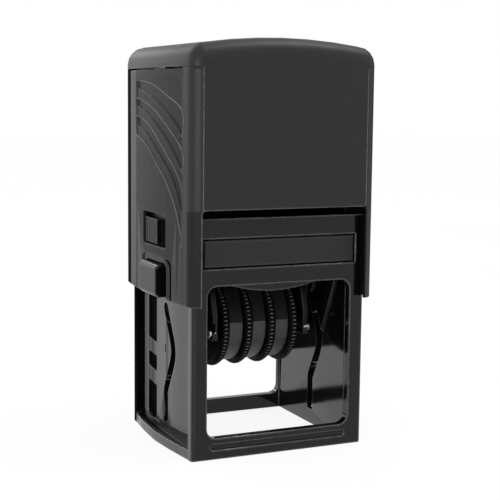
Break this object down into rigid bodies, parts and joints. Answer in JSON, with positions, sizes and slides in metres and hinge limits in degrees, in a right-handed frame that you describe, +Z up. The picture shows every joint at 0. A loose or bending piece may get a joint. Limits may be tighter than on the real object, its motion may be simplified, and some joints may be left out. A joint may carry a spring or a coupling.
{
  "type": "self-inking date stamp",
  "caption": "Self-inking date stamp with a sprung hood that flips the type holder, thumb-turned date wheels, a slide-out ink pad and side lock buttons.",
  "frame": {"origin": "middle of the base, on the plane that the stamp stands on", "axes": "+X along the front to the right, -Y out of the front with the pad's opening, +Z up along the press stroke"},
  "size_m": [0.0678, 0.0594, 0.1245],
  "materials": {
    "black_gloss": "smooth black moulded plastic, soft gloss",
    "black_satin": "fine-grained black moulded plastic",
    "dark_wheel": "dark grey moulded plastic",
    "black_rubber": "matte black rubber",
    "ink_felt": "ink-soaked felt",
    "steel": "bright drawn steel"
  },
  "bodies": {
    "frame": {"frame": "black_gloss"},
    "pad_cartridge": {"pad_tray": "black_gloss", "ink_pad": "ink_felt"},
    "press": {"hood_shell": "black_satin", "bow": "black_gloss", "return_spring": "steel"},
    "cover": {"index_cover": "black_satin"},
    "lock_left": {"lock_button_left": "black_gloss"},
    "lock_right": {"lock_button_right": "black_gloss"},
    "type_carrier": {"type_holder": "black_gloss", "text_die": "black_rubber", "wheel_bracket": "black_gloss", "band_bridge": "black_gloss", "wheel_axle": "steel", "bracket_rivet_left": "steel", "bracket_rivet_right": "steel", "pivot_pin_left": "black_gloss", "pivot_pin_right": "black_gloss", "cam_pin_left": "black_gloss", "cam_pin_right": "black_gloss", "day_band": "black_rubber", "month_band": "black_rubber", "year_band": "black_rubber"},
    "day_dial": {"day_wheel": "dark_wheel"},
    "month_dial": {"month_wheel": "dark_wheel"},
    "year_dial": {"year_wheel": "dark_wheel"}
  },
  "joints": [
    {"name": "hood_press", "type": "slide", "parent": "frame", "child": "press", "axis": [0, 0, -1], "range_m": [0, 0.038], "stiffness_N_per_m": 300, "springref_m": -0.02, "deforming": ["return_spring"]},
    {"name": "carrier_flip", "type": "hinge", "parent": "press", "child": "type_carrier", "pos_m": [0, 0, 0.048], "axis": [-1, 0, 0], "range_deg": [0, 180]},
    {"name": "pad_slide", "type": "slide", "parent": "frame", "child": "pad_cartridge", "axis": [0, 1, 0], "range_m": [-0.05, 0]},
    {"name": "cover_lift", "type": "slide", "parent": "press", "child": "cover", "axis": [0, 0, 1], "range_m": [0, 0.05]},
    {"name": "lock_left_push", "type": "slide", "parent": "press", "child": "lock_left", "axis": [1, 0, 0], "range_m": [0, 0.0019], "stiffness_N_per_m": 200, "springref_m": -0.002},
    {"name": "lock_right_push", "type": "slide", "parent": "press", "child": "lock_right", "axis": [-1, 0, 0], "range_m": [0, 0.0019], "stiffness_N_per_m": 200, "springref_m": -0.002},
    {"name": "day_dial_turn", "type": "hinge", "parent": "type_carrier", "child": "day_dial", "pos_m": [0, 0, 0.0367], "axis": [1, 0, 0], "continuous": true},
    {"name": "month_dial_turn", "type": "hinge", "parent": "type_carrier", "child": "month_dial", "pos_m": [0, 0, 0.0367], "axis": [1, 0, 0], "continuous": true},
    {"name": "year_dial_turn", "type": "hinge", "parent": "type_carrier", "child": "year_dial", "pos_m": [0, 0, 0.0367], "axis": [1, 0, 0], "continuous": true}
  ],
  "couplings": [
    {"joint": "carrier_flip", "follows": "hood_press", "rad_per_m": 82.672}
  ]
}
